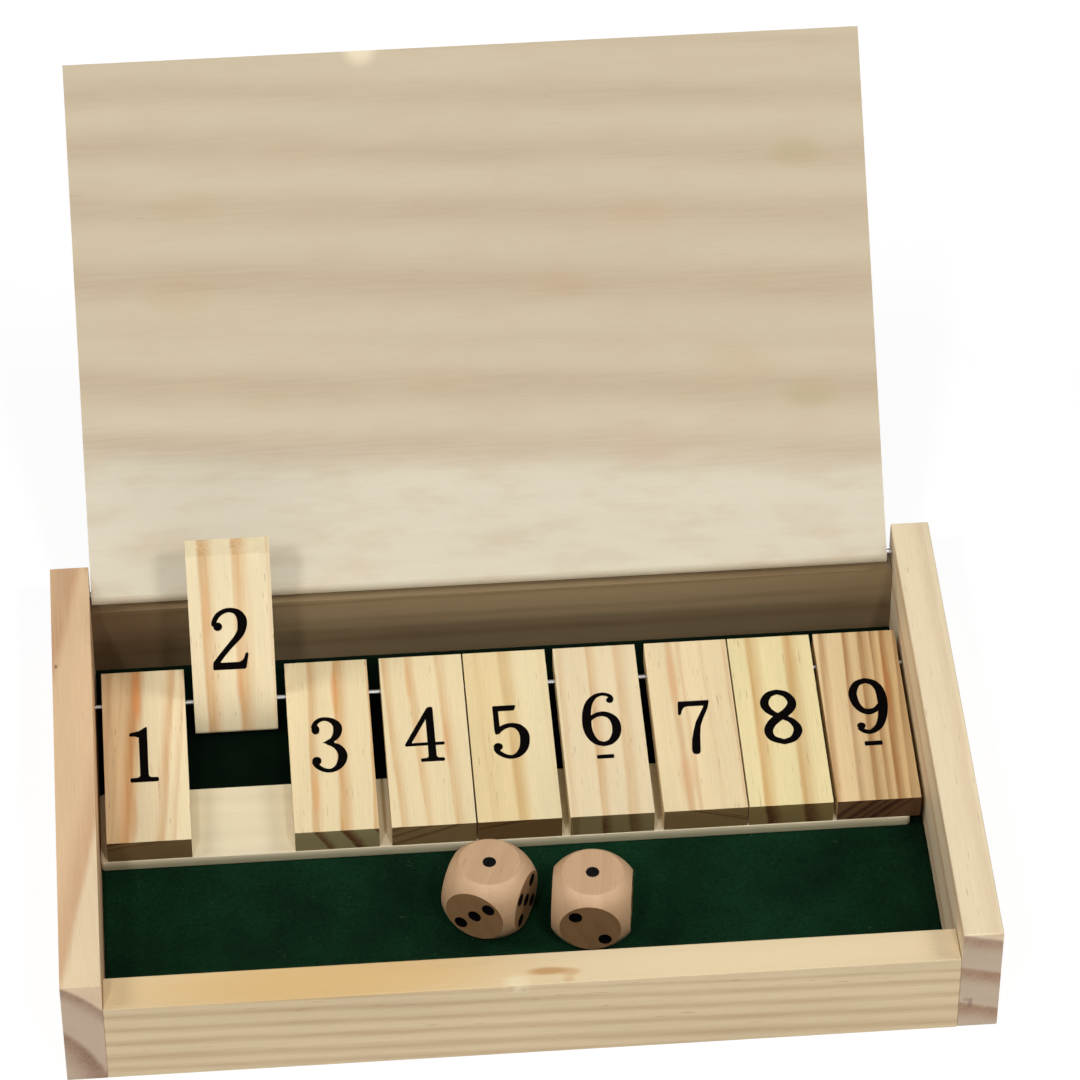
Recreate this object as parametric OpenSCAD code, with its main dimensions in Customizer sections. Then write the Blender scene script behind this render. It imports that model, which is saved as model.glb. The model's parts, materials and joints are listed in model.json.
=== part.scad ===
// Shut the box: a lidded wooden tray with nine numbered tiles that pivot on one steel rod, and two dice.
// Millimetres. Origin at the centre of the underside, +X to the right, +Y to the back, +Z up.
// It is drawn in play: lid open, every tile lying down but tile 2, which is flipped up.

/* [Box] */
// Width over the side walls
box_w = 215; // [180:1:260]
// Depth from the front face to the back ends of the side walls
box_d = 136; // [113:1:170]
// Height of the side walls
side_h = 31.5; // [31.5:0.5:45]
// Thickness of the side walls
side_t = 9.3; // [7:0.1:12]
// Thickness of the front wall
front_t = 9.6; // [7:0.1:12]
// Thickness of the back wall
back_t = 7.6; // [7:0.1:10]
// Thickness of the base panel
base_t = 3; // [2:0.1:4]
// How far the base panel runs under the walls
rabbet_w = 4; // [2:0.1:6]
// Thickness of the felt lining
felt_t = 0.7; // [0.5:0.1:1.5]

/* [Lid] */
// Thickness of the lid
lid_t = 5; // [4:0.1:7]
// How far the closed lid lies below the tops of the side walls
lid_recess = 3; // [2:0.1:5]
// How far the closed lid's front edge stands back from the front face
lid_setback = 3; // [0:0.1:8]
// Angle that the lid opens through, in degrees
lid_open = 134.4; // [100:0.1:145]
// Distance from the pivot to the back ends of the side walls
lid_pivot_inset = 4.1; // [3.8:0.1:8]
// Diameter of the lid's two pivot nails
nail_d = 1.8; // [1.2:0.1:2.2]
// Diameter of a nail's head
nail_head_d = 3.6; // [3:0.1:4.5]
// Thickness of a nail's head
nail_head_t = 0.8; // [0.5:0.1:1.2]
// Length of nail inside the lid's edge
nail_grip = 9; // [6:0.5:20]

/* [Tiles] */
// Length of a tile
tile_l = 54.3; // [46:0.1:60]
// Thickness of a tile
tile_t = 6.5; // [5:0.1:8]
// Side play of a tile in its share of the row
tile_play = 1.82; // [1:0.01:4]
// Backward lean of a raised tile, in degrees
tile_lean = 7.2; // [5:0.1:25]
// Diameter of the pivot rod
rod_d = 1.2; // [1:0.1:2.4]
// Height of the pivot rod's axis over the felt
rod_h = 8.3; // [8:0.1:10]
// Distance from the pivot rod's axis to the back wall
rod_back = 21.15; // [18:0.05:30]
// Depth of the rod's blind hole in the left side wall
rod_blind = 6; // [3:0.5:6.5]
// How far the rod's right end lies below the wall's outer face
rod_end_recess = 0.4; // [0:0.1:1]

/* [Slat] */
// Front-to-back width of the slat that the tiles lie on
slat_w = 22.3; // [12:0.1:25]
// Thickness of the slat
slat_t = 3; // [2:0.1:3.5]
// Gap between the slat's right end and the side wall
slat_end_gap = 3.4; // [0.1:0.1:6]

/* [Dice] */
// Size of a die across its flats
die_size = 18.5; // [15.5:0.1:18.6]
// Diameter of the flat on each side of a die
die_flat_d = 14.4; // [13:0.1:15]
// Diameter of a pip
pip_d = 3.2; // [2.5:0.1:3.5]
// Depth of a pip
pip_depth = 0.5; // [0.2:0.1:0.8]
// Distance between neighbouring pips, across and up a die's side
pip_pitch = 3.47; // [3.3:0.01:3.6]
// Space between the two dice
die_space = 5.2; // [4:0.1:20]
// Distance of the pair of dice to the right of the middle
die_pair_x = 4.45; // [-30:0.05:30]
// Turn of the left die, in degrees
die_left_turn = -26.3; // [-45:0.1:45]
// Turn of the right die, in degrees
die_right_turn = -7.8; // [-45:0.1:45]

/* [Clearances] */
// Radial clearance of a tile on the rod
rod_fit = 0.08; // [0.02:0.01:0.1]
// Radial clearance of the lid on its nails
nail_fit = 0.05; // [0.02:0.01:0.1]
// Radial clearance of the rod and the nails in the walls
drive_fit = 0.02; // [0.01:0.01:0.05]
// Gap under the closed lid, over the front and back walls
lid_gap = 0.15; // [0.1:0.05:0.4]
// Gap under the open lid's bevel, over the back wall
lid_stop_gap = 0.05; // [0.02:0.01:0.1]
// Gap between the lid and the left side wall
lid_gap_left = 0.4; // [0.3:0.1:2]
// Gap between the lid and the right side wall
lid_gap_right = 1.5; // [0.3:0.1:2]
// Gap between a lying tile and the slat
tile_rest_gap = 0.1; // [0.05:0.05:0.3]
// Gap between a raised tile's tail and the felt
tail_stop_gap = 0.02; // [0.01:0.01:0.1]
// Gap between the tail's rounded corner and the felt as the tile swings past
tail_pass_gap = 0.1; // [0.05:0.01:0.2]
// Gap round the base panel, the felt and the slat
panel_gap = 0.1; // [0.05:0.05:0.3]

/* [Hidden] */

$fn = 48;
over = 1;                                   // how far a cutter runs past the face that it cuts

pine = [0.89, 0.80, 0.62];
pine_warm = [0.86, 0.74, 0.55];
pale_ply = [0.88, 0.84, 0.73];
felt_green = [0.05, 0.16, 0.09];
steel = [0.75, 0.76, 0.78];
beech = [0.78, 0.63, 0.50];

// the room inside the walls
in_w = box_w - 2 * side_t;
front_y = -box_d / 2;
back_y = box_d / 2;
in_front = front_y + front_t;
in_back = back_y - back_t;
felt_z = base_t + felt_t;

// lid and pivot: the front and back walls end just under the closed lid
low_h = side_h - lid_recess - lid_t - lid_gap;
lid_y = back_y - lid_pivot_inset;
lid_z = low_h + lid_gap + lid_t / 2;
lid_front = lid_y - front_y - lid_setback;  // from the pivot to the front edge
lid_left = -in_w / 2 + lid_gap_left;
lid_right = in_w / 2 - lid_gap_right;
bevel_r = lid_t / 2 + lid_gap - lid_stop_gap;
edge_r = bevel_r - lid_stop_gap;            // round the pivot, so that the edge turns over the back wall
bevel_turn = lid_open - 90;                 // the bevel lies level when the lid is open

// tiles: each turns on the rod from the slat to where its tail stops on the felt
tile_count = 9;
tile_w = in_w / tile_count - tile_play;
row_shares = [18, 21, 23, 30, 4, 20, 23, 4, 10, 11];    // how the row's side play is spread, left to right
rod_r = rod_d / 2;
rod_y = in_back - rod_back;
rod_z = felt_z + rod_h;
half_t = tile_t / 2;
tail = (rod_h - tail_stop_gap - half_t * sin(tile_lean)) / cos(tile_lean);
reach = tile_l - tail;
slat_drop = rod_h - slat_t - tile_rest_gap;
lie_angle = asin(slat_drop / norm([reach, half_t])) - atan2(half_t, reach);
raised_angle = -90 - tile_lean;
pass_r = rod_h - tail_pass_gap;
tail_spare = tail + half_t - pass_r;
tail_round = tail_spare - sqrt(tail_spare ^ 2 - (tail ^ 2 + half_t ^ 2 - pass_r ^ 2));

slat_front = rod_y - reach * cos(lie_angle) + half_t * sin(lie_angle) - tile_rest_gap;

// dice: each stands in the tray, some way from the middle towards the slat
die_round_r = norm([die_size, die_flat_d]) / 2;
pip_r = (pip_depth ^ 2 + (pip_d / 2) ^ 2) / (2 * pip_depth);
tray_mid = (in_front + slat_front) / 2;
tray_room = (slat_front - in_front) / 2 - die_round_r;
die_left_share = 0.32;
die_right_share = -0.04;
side_pips = [2, 3, 5, 4];                   // round the die from its front, with 1 on top and 6 below

function total(list, count) = count == 0 ? 0 : list[count - 1] + total(list, count - 1);

function arc(r, from, to, steps) =
    [for (i = [0:steps]) let (a = from + (to - from) * i / steps) r * [cos(a), sin(a)]];

// centre of a tile in the row: the tiles before it, and its share of the play
function tile_x(number) =
    -in_w / 2 + (number - 0.5) * tile_w
    + tile_count * tile_play * total(row_shares, number) / total(row_shares, len(row_shares));

module x_cylinder(from, to, r)
    translate([from, 0, 0]) rotate([0, 90, 0]) cylinder(h = to - from, r = r);

module at_rod() translate([0, rod_y, rod_z]) children();
module at_lid_pivot() translate([0, lid_y, lid_z]) children();
// the right side is as drawn, and the left side is its mirror image
module on_side(side) mirror([side < 0 ? 1 : 0, 0, 0]) children();

// --- walls ---------------------------------------------------------------

// the place of the base panel, which rabbets all four walls
module base_place(gap = 0)
    translate([-in_w / 2 - rabbet_w + gap, in_front - rabbet_w + gap, gap > 0 ? 0 : -over])
        cube([
            in_w + 2 * (rabbet_w - gap),
            in_back - in_front + 2 * (rabbet_w - gap),
            base_t + (gap > 0 ? 0 : over)
        ]);

module rod_hole()
    at_rod() x_cylinder(-in_w / 2 - rod_blind, box_w / 2 + over, rod_r + drive_fit);

module nail_hole(side)
    at_lid_pivot() on_side(side) {
        x_cylinder(in_w / 2 - over, box_w / 2 + over, nail_d / 2 + drive_fit);
        x_cylinder(box_w / 2 - nail_head_t, box_w / 2 + over, nail_head_d / 2 + drive_fit);
    }

module side_wall(side)
    difference() {
        on_side(side) translate([in_w / 2, front_y, 0]) cube([side_t, box_d, side_h]);
        base_place();
        rod_hole();
        nail_hole(side);
    }

// a low wall between the side walls
module cross_wall(from, thickness)
    difference() {
        translate([-in_w / 2, from, 0]) cube([in_w, thickness, low_h]);
        base_place();
    }

module left_side_wall() color(pine_warm) side_wall(-1);
module right_side_wall() color(pine) side_wall(1);
module front_wall() color(pine) cross_wall(front_y, front_t);
module back_wall() color(pine_warm) cross_wall(in_back, back_t);

module base_panel() color(pale_ply) base_place(panel_gap);

module felt_lining()
    color(felt_green)
        translate([-in_w / 2 + panel_gap, in_front + panel_gap, base_t])
            cube([in_w - 2 * panel_gap, in_back - in_front - 2 * panel_gap, felt_t]);

module rest_slat()
    color(pale_ply)
        translate([-in_w / 2 + panel_gap, slat_front, felt_z])
            cube([in_w - panel_gap - slat_end_gap, slat_w, slat_t]);

module pivot_rod()
    color(steel)
        at_rod() x_cylinder(-in_w / 2 - rod_blind + panel_gap, box_w / 2 - rod_end_recess, rod_r);

// --- lid -----------------------------------------------------------------

// the closed lid's section through the pivot, front edge on the left
module lid_section() {
    foot = bevel_r * [cos(bevel_turn), sin(bevel_turn)];
    bevel_end = [(bevel_r - lid_t / 2 * sin(bevel_turn)) / cos(bevel_turn), lid_t / 2];
    polygon(concat(
        [[-lid_front, lid_t / 2], [-lid_front, -lid_t / 2]],
        arc(edge_r, -asin(lid_t / 2 / edge_r), bevel_turn - acos(edge_r / bevel_r), 16),
        [foot, bevel_end]
    ));
}

module lid_nail(side, grip_gap) {
    tip = in_w / 2 - grip_gap - nail_grip;
    color(steel)
        at_lid_pivot() on_side(side) {
            x_cylinder(tip + nail_d, box_w / 2 - nail_head_t / 2, nail_d / 2);
            translate([tip, 0, 0]) rotate([0, 90, 0]) cylinder(h = nail_d, r1 = nail_d / 8, r2 = nail_d / 2);
            x_cylinder(box_w / 2 - nail_head_t, box_w / 2, nail_head_d / 2);
        }
}

module lid_nail_left() lid_nail(-1, lid_gap_left);
module lid_nail_right() lid_nail(1, lid_gap_right);

module lid_panel()
    color(pale_ply)
        at_lid_pivot() rotate([-lid_open, 0, 0])
            difference() {
                translate([lid_left, 0, 0])
                    rotate([90, 0, 90]) linear_extrude(height = lid_right - lid_left) lid_section();
                x_cylinder(lid_left - over, lid_left + nail_grip + over, nail_d / 2 + nail_fit);
                x_cylinder(lid_right - nail_grip - over, lid_right + over, nail_d / 2 + nail_fit);
            }

// --- tiles ---------------------------------------------------------------

// a tile's section through the rod, lying level with its front end on the left;
// the tail's lower corner is rounded to swing past the felt, and the upper one stops on it
module tile_section()
    polygon(concat(
        [[tail, half_t], [-reach, half_t], [-reach, -half_t]],
        [for (p = arc(tail_round, -90, 0, 8)) [tail - tail_round, tail_round - half_t] + p]
    ));

module number_tile(number, angle = lie_angle)
    color(pine)
        at_rod() rotate([angle, 0, 0])
            difference() {
                translate([tile_x(number) - tile_w / 2, 0, 0])
                    rotate([90, 0, 90]) linear_extrude(height = tile_w) tile_section();
                x_cylinder(
                    tile_x(number) - tile_w / 2 - over,
                    tile_x(number) + tile_w / 2 + over,
                    rod_r + rod_fit
                );
            }

module tile_1() number_tile(1);
module tile_2() number_tile(2, raised_angle);
module tile_3() number_tile(3);
module tile_4() number_tile(4);
module tile_5() number_tile(5);
module tile_6() number_tile(6);
module tile_7() number_tile(7);
module tile_8() number_tile(8);
module tile_9() number_tile(9);

// --- dice ----------------------------------------------------------------

// where the pips of one side are, in steps of the pitch
function pips(count) = [
    for (x = [-1:1], y = [-1:1])
        let (
            middle = x == 0 && y == 0,
            rising = x == y && !middle,
            falling = x == -y && !middle,
            beside = y == 0 && !middle
        )
        if ((middle && count % 2 == 1)
            || (falling && count != 1 && count != 3)
            || (rising && count > 2)
            || (beside && count == 6))
            [x, y]
];

module pip_cutters(count)
    for (p = pips(count))
        translate([p.x * pip_pitch, p.y * pip_pitch, die_size / 2 - pip_depth + pip_r]) sphere(r = pip_r);

module die()
    translate([0, 0, die_size / 2])
        difference() {
            intersection() {
                cube(die_size, center = true);
                sphere(r = die_round_r);
            }
            pip_cutters(1);
            for (k = [0:3]) rotate([90, 0, 90 * k]) pip_cutters(side_pips[k]);
            rotate([180, 0, 0]) pip_cutters(6);
        }

module placed_die(side, share, turn)
    color(beech)
        translate([
            die_pair_x + side * (die_size + die_space) / 2,
            tray_mid + share * tray_room,
            felt_z
        ])
            rotate([0, 0, turn]) die();

// the left die lies a quarter turn round from the right one, so its 3 is in front
module die_left() placed_die(-1, die_left_share, die_left_turn - 90);
module die_right() placed_die(1, die_right_share, die_right_turn);

left_side_wall();
right_side_wall();
front_wall();
back_wall();
base_panel();
felt_lining();
rest_slat();
pivot_rod();
lid_panel();
lid_nail_left();
lid_nail_right();
tile_1();
tile_2();
tile_3();
tile_4();
tile_5();
tile_6();
tile_7();
tile_8();
tile_9();
die_left();
die_right();
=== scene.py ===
import json
import math

import bpy
from mathutils import Euler, Matrix, Vector, noise
from mathutils.geometry import delaunay_2d_cdt


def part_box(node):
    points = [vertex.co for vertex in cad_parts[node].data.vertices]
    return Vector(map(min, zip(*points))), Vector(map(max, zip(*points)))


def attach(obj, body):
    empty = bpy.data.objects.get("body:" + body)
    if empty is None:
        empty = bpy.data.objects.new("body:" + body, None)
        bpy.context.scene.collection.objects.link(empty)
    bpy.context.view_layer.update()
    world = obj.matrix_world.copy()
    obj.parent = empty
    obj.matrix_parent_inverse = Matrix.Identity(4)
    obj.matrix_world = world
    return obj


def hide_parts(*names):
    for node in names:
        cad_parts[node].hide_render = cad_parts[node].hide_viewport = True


# Looks of the shut the box game, built round its CAD frame. Metres, +Z up, front towards -Y.

MM = 0.001

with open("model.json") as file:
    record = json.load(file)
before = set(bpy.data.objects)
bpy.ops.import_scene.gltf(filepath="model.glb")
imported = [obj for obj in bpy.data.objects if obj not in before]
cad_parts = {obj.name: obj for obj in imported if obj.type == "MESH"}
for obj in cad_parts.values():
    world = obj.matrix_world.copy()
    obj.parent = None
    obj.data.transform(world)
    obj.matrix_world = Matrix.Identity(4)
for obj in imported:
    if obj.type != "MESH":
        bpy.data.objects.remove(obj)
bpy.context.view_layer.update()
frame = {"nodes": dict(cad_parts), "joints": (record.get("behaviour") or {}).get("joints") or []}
nodes = frame["nodes"]
joints = {joint["name"]: joint for joint in frame["joints"]}

LID_OPEN = math.radians(-joints["lid_hinge"]["range_deg"][0])
LID_PIVOT = Vector(joints["lid_hinge"]["pos_m"])
ROD = Vector(joints["tile_1_pivot"]["pos_m"])
TILES = range(1, 10)
RAISED = 2
TILE_L = 54.3
TILE_T = 6.5
TILE_BACK_LEAN = math.radians(7.2)
TAIL_STOP_GAP = 0.02
TILE_REST_GAP = 0.1
ROD_OVER_FELT = (ROD.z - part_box("felt_lining")[1].z) / MM
ROD_OVER_SLAT = (ROD.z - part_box("rest_slat")[1].z) / MM
TILE_TAIL = ((ROD_OVER_FELT - TAIL_STOP_GAP - TILE_T / 2 * math.sin(TILE_BACK_LEAN))
             / math.cos(TILE_BACK_LEAN))
TILE_REACH = TILE_L - TILE_TAIL
LIE_TILT = (math.asin((ROD_OVER_SLAT - TILE_REST_GAP) / math.hypot(TILE_REACH, TILE_T / 2))
            - math.atan2(TILE_T / 2, TILE_REACH))
RAISED_TILT = -math.pi / 2 - TILE_BACK_LEAN

DIE_SIZE = 18.5
PIP_PITCH = 3.47
PIP_D = 3.2
PIP_DEPTH = 0.5
SIDE_PIPS = (2, 3, 5, 4)
DIE_GRAIN = {"die_left": math.pi / 2, "die_right": 0.0}
DIE_TURNS = {"die_left": math.radians(-116.3), "die_right": math.radians(-7.8)}


# --- node graphs ----------------------------------------------------------------------------------

def linear(red, green, blue):
    """A colour written as 0 to 255, in linear light."""
    def channel(value):
        value /= 255
        return value / 12.92 if value <= 0.04045 else ((value + 0.055) / 1.055) ** 2.4
    return (channel(red), channel(green), channel(blue), 1.0)


def feed(tree, socket, value):
    if value is None:
        return
    if isinstance(value, bpy.types.NodeSocket):
        tree.links.new(value, socket)
    else:
        socket.default_value = value


def put(tree, kind, *values, out=0, named=None, **settings):
    """Adds a node, makes its settings, feeds its inputs, and returns one of its outputs."""
    node = tree.nodes.new("ShaderNode" + kind)
    for key, value in settings.items():
        setattr(node, key, value)
    for socket, value in zip(node.inputs, values):
        feed(tree, socket, value)
    for key, value in (named or {}).items():
        feed(tree, node.inputs[key], value)
    return node.outputs[out]


def calc(tree, operation, a, b=None, c=None, clamp=False):
    return put(tree, "Math", a, b, c, operation=operation, use_clamp=clamp)


def stretch(tree, vector, scale):
    return put(tree, "VectorMath", vector, scale, operation="MULTIPLY")


def blur_noise(tree, vector, scale, detail=2.0, roughness=0.5, shift=0.0, distortion=0.0):
    """Noise round 0.5 at so many swells per millimetre along each axis."""
    moved = put(tree, "VectorMath", vector, (shift, shift * 1.7, shift * 0.6), operation="ADD")
    return put(tree, "TexNoise", named={
        "Vector": stretch(tree, moved, scale), "Scale": 1.0, "Detail": detail,
        "Roughness": roughness, "Distortion": distortion,
    })


def remap(tree, value, low, high, to_low=0.0, to_high=1.0, smooth=False):
    return put(tree, "MapRange", value, low, high, to_low, to_high,
               interpolation_type="SMOOTHSTEP" if smooth else "LINEAR")


def blend(tree, factor, a, b, mode="MIX"):
    node = tree.nodes.new("ShaderNodeMix")
    node.data_type = "RGBA"
    node.blend_type = mode
    feed(tree, node.inputs[0], factor)
    feed(tree, node.inputs[6], a)
    feed(tree, node.inputs[7], b)
    return node.outputs[2]


def grey(tree, value):
    return put(tree, "CombineColor", value, value, value)


def ramp(tree, factor, stops):
    """A grey value read off stops of (place, value), eased between them."""
    node = tree.nodes.new("ShaderNodeValToRGB")
    feed(tree, node.inputs[0], factor)
    node.color_ramp.interpolation = "EASE"
    elements = node.color_ramp.elements
    stops = sorted(stops)
    while len(elements) < len(stops):
        elements.new(0.5)
    for element, (place, value) in zip(elements, stops):
        element.position = place
        element.color = (value, value, value, 1)
    return node.outputs[0]


def new_material(name, roughness, specular=0.35):
    material = bpy.data.materials.new(name)
    material.use_nodes = True
    shader = material.node_tree.nodes["Principled BSDF"]
    shader.inputs["Roughness"].default_value = roughness
    shader.inputs["Specular IOR Level"].default_value = specular
    return material, material.node_tree, shader


def bump(tree, shader, height, strength, depth):
    normal = put(tree, "Bump", named={"Strength": strength, "Distance": depth * MM, "Height": height})
    feed(tree, shader.inputs["Normal"], normal)


# --- wood -----------------------------------------------------------------------------------------

def board_place(origin=(0, 0, 0), turn=(0, 0, 0)):
    """Where a board's own frame is: its grain runs along its Y."""
    return Vector(origin), Euler(turn)


def board_space(tree, place, axes=((0, 1, 0),)):
    """Millimetres in the board's own frame, and how squarely a surface faces along the axes."""
    origin, turn = place
    coordinates = tree.nodes.new("ShaderNodeTexCoord")
    local = put(tree, "Mapping", coordinates.outputs["Object"], tuple(origin), tuple(turn),
                (MM, MM, MM), vector_type="TEXTURE")
    facing = 0.0
    for axis in axes:
        along = put(tree, "VectorMath", coordinates.outputs["Normal"],
                    tuple(turn.to_matrix() @ Vector(axis)), operation="DOT_PRODUCT", out=1)
        facing = calc(tree, "MAXIMUM", facing, calc(tree, "ABSOLUTE", along))
    return local, facing


def ring_stops(bands, span, sharp):
    """Stops for growth rings of (place, width, strength).

    sharp is 1 where a ring ends sharply on its high side, -1 on its low side, and 0 on neither."""
    low, high = span
    stops = [(0.0, 0.0), (1.0, 0.0)]
    for centre, width, strength in bands:
        rise = centre - width * (0.5 + 0.3 * sharp)
        fall = centre + width * (0.5 - 0.3 * sharp)
        for place, value in ((rise, 0.0), (centre, strength), (fall, 0.0)):
            at = (place - low) / (high - low)
            if 0 < at < 1:
                stops.append((at, value))
    return stops


def spot_mask(tree, local, centre, radii):
    """1 at a spot's middle and 0 outside it; its radii are in millimetres."""
    away = put(tree, "VectorMath", local, centre, operation="SUBTRACT")
    near = stretch(tree, away, tuple(1 / r for r in radii))
    distance = put(tree, "VectorMath", near, operation="LENGTH", out=1)
    return remap(tree, distance, 1.0, 0.35, smooth=True)


def ring_place(tree, local, across, pith):
    """The one coordinate that rings are given in, in millimetres.

    It grows along across, and with the distance from the pith where one is named."""
    ring = put(tree, "VectorMath", local, across, operation="DOT_PRODUCT", out=1)
    if pith:
        away = put(tree, "VectorMath", local, (pith[0], 0, pith[1]), operation="SUBTRACT")
        radius = put(tree, "VectorMath", stretch(tree, away, (1, 0, 1)), operation="LENGTH", out=1)
        ring = calc(tree, "ADD", ring, radius)
    return ring


WALL_END = (0.80, 0.76, 0.80)
WALL_END_RING = (0.72, 0.60, 0.55)


def wood(name, place, bands, span, pale, dark, *, across=(1, 0, 0), pith=None, sharp=-1,
         zone=(), zone_tone=(0, 0, 0), seed=0.0, wobble=1.0, ragged=0.35, broad=0.08,
         fibre=0.08, flecks=0.35, mottle=0.0, mottle_tone=(0, 0, 0), end_tone=WALL_END,
         end_ring=WALL_END_RING, end_zone=None, end_axes=((0, 1, 0),), end_edge=(0.55, 0.85),
         roughness=0.52, spots=(), relief=0.22):
    """Sawn wood: growth rings at set places across the board, with fibres, flecks and end grain.

    zone is stops of (ring place, amount) where the board takes on zone_tone, such as sapwood;
    spots are (centre, radii, strength, tone)."""
    material, tree, shader = new_material(name, roughness)
    local, facing = board_space(tree, place, end_axes)

    swell = calc(tree, "SUBTRACT", blur_noise(tree, local, (0.05, 0.016, 0.05), 1.5, shift=seed), 0.5)
    rag = calc(tree, "SUBTRACT", blur_noise(tree, local, (0.9, 0.05, 0.9), 3.0, shift=seed + 7), 0.5)
    ring = ring_place(tree, local, across, pith)
    ring = calc(tree, "MULTIPLY_ADD", swell, wobble * 2, ring)
    ring = calc(tree, "MULTIPLY_ADD", rag, ragged * 2, ring)
    ring = remap(tree, ring, span[0], span[1])
    band = ramp(tree, ring, ring_stops(bands, span, sharp))
    patch = blur_noise(tree, local, (0.14, 0.03, 0.14), 2.0, shift=seed + 3)
    band = calc(tree, "MULTIPLY", band, remap(tree, patch, 0.25, 0.75, 0.75, 1.2))
    streak = blur_noise(tree, local, (1.3, 0.04, 1.3), 2.0, shift=seed + 5)
    band = calc(tree, "MULTIPLY", band, remap(tree, streak, 0.25, 0.75, 0.72, 1.22), clamp=True)

    fibres = blur_noise(tree, local, (3.2, 0.07, 3.2), 4.0, 0.6, shift=seed + 11)
    tone = blur_noise(tree, local, (0.11, 0.012, 0.11), 2.0, shift=seed + 19)
    end = remap(tree, facing, *end_edge, smooth=True)

    colour, ends = linear(*pale), (*end_tone, 1)
    if zone:
        stops = [((at - span[0]) / (span[1] - span[0]), amount) for at, amount in zone]
        within = ramp(tree, ring, stops)
        colour = blend(tree, within, colour, linear(*zone_tone))
        ends = blend(tree, within, ends, (*(end_zone or end_tone), 1))
    if mottle:
        cloud = blur_noise(tree, local, (0.16, 0.05, 0.16), 3.0, 0.6, shift=seed + 43)
        colour = blend(tree, remap(tree, cloud, 0.45, 0.75, 0, mottle), colour, linear(*mottle_tone))
    colour = blend(tree, band, colour, linear(*dark))
    light = remap(tree, tone, 0.25, 0.75, 1 - broad, 1 + broad * 0.6)
    light = calc(tree, "MULTIPLY", light, remap(tree, fibres, 0.25, 0.75, 1 - fibre, 1 + fibre * 0.6))
    colour = blend(tree, 1.0, colour, grey(tree, light), "MULTIPLY")

    if flecks:
        canal = blur_noise(tree, local, (2.6, 0.17, 2.6), 1.0, shift=seed + 29)
        canal = calc(tree, "MULTIPLY", remap(tree, canal, 0.70, 0.78), flecks)
        canal = calc(tree, "MULTIPLY", canal, calc(tree, "SUBTRACT", 1.0, end))
        colour = blend(tree, canal, colour, linear(150, 105, 62))

    pores = blur_noise(tree, local, (5.0, 0.2, 5.0), 2.0, 0.7, shift=seed + 37)
    darker = tuple(a * b for a, b in zip(end_tone, end_ring))
    ends = blend(tree, band, ends, (*darker, 1))
    ends = blend(tree, 1.0, ends, grey(tree, remap(tree, pores, 0.3, 0.7, 0.94, 1.04)), "MULTIPLY")
    colour = blend(tree, end, colour, blend(tree, 1.0, colour, ends, "MULTIPLY"))

    for centre, radii, strength, spot_tone in spots:
        mask = calc(tree, "MULTIPLY", spot_mask(tree, local, centre, radii), strength)
        colour = blend(tree, mask, colour, linear(*spot_tone))
    feed(tree, shader.inputs["Base Color"], colour)

    gloss = remap(tree, fibres, 0.3, 0.7, roughness - 0.05, roughness + 0.08)
    feed(tree, shader.inputs["Roughness"], calc(tree, "MULTIPLY_ADD", end, 0.18, gloss))
    height = calc(tree, "MULTIPLY_ADD", band, 0.4, fibres)
    height = calc(tree, "MULTIPLY_ADD", calc(tree, "MULTIPLY", pores, end), 0.4, height)
    bump(tree, shader, height, relief, 0.25)
    return material


# --- shapes on the CAD nodes ----------------------------------------------------------------------

BEVEL_SEGMENTS = 2
BEVEL_ANGLE = math.radians(35)
SAME_POINT = 1e-6


def dress(node, material, soften=0.0):
    """Gives a CAD node its material and, by modifiers alone, lightly broken edges."""
    obj = nodes[node]
    obj.data.materials.clear()
    obj.data.materials.append(material)
    if soften:
        weld = obj.modifiers.new("weld", "WELD")
        weld.merge_threshold = SAME_POINT
        edge = obj.modifiers.new("edges", "BEVEL")
        edge.width = soften * MM
        edge.segments = BEVEL_SEGMENTS
        edge.limit_method = "ANGLE"
        edge.angle_limit = BEVEL_ANGLE
        edge.use_clamp_overlap = True
        normal = obj.modifiers.new("normals", "WEIGHTED_NORMAL")
        normal.keep_sharp = False
        normal.weight = 80


def add_mesh(name, vertices, faces, material, smooth=False):
    mesh = bpy.data.meshes.new(name)
    mesh.from_pydata([tuple(v) for v in vertices], [], faces)
    mesh.validate()
    if smooth:
        mesh.polygons.foreach_set("use_smooth", [True] * len(mesh.polygons))
    mesh.materials.append(material)
    obj = bpy.data.objects.new(name, mesh)
    bpy.context.scene.collection.objects.link(obj)
    return obj


# --- walls, base and slat -------------------------------------------------------------------------

QUARTER = math.pi / 2
GRAIN_X = (0, 0, -QUARTER)         # board frame: Y along the world's X, X towards the front
LEFT_PITH = (-29.3, -11.9)         # beyond the left wall's outer bottom edge


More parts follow.
